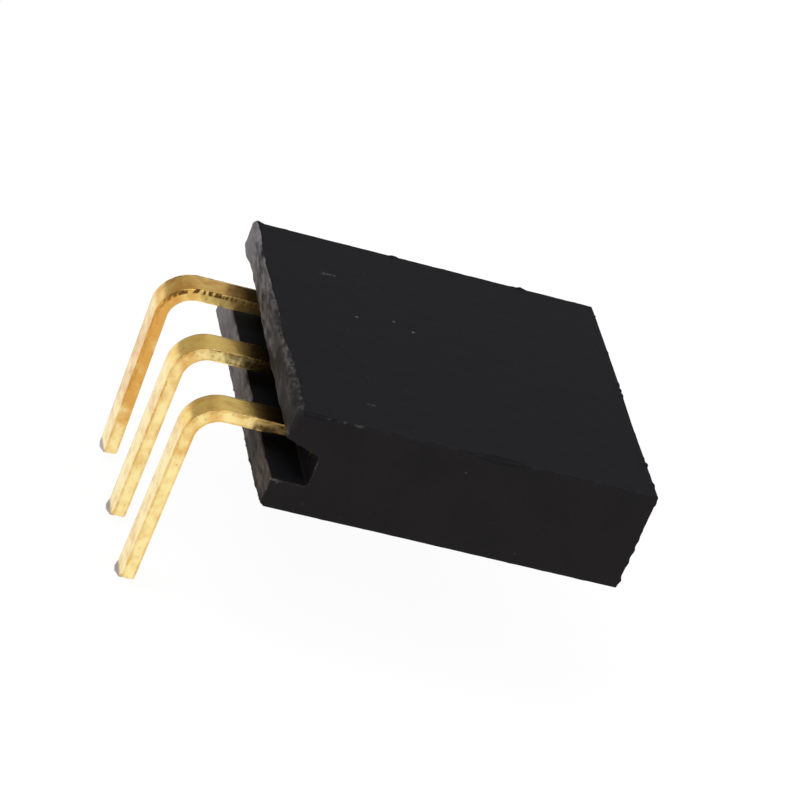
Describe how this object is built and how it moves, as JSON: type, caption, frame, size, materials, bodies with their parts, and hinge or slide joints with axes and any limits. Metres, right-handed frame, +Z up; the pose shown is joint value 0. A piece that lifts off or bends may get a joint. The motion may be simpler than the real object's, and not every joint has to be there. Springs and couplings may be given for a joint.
{
  "type": "right-angle female pin header",
  "caption": "Single-row right-angle socket header: a black moulded housing open at one face for square pins, with flat gold-plated contacts bent down behind it.",
  "frame": {"origin": "middle of the row of tails, on the board's surface, which is the plane of the housing's underside", "axes": "+X along the row from contact_1 to contact_3, +Y from the housing towards the tails, +Z up away from the board; the sockets open towards -Y and the tails point along -Z"},
  "size_m": [0.0082, 0.0104, 0.0059],
  "materials": {
    "housing": "black moulded plastic, fine matte, with scuffed grey rear edges and sawn ends",
    "contact": "thin bright gold plating over blanked strip"
  },
  "bodies": {
    "root": {"housing": "housing", "contact_1": "contact", "contact_2": "contact", "contact_3": "contact"}
  },
  "joints": []
}
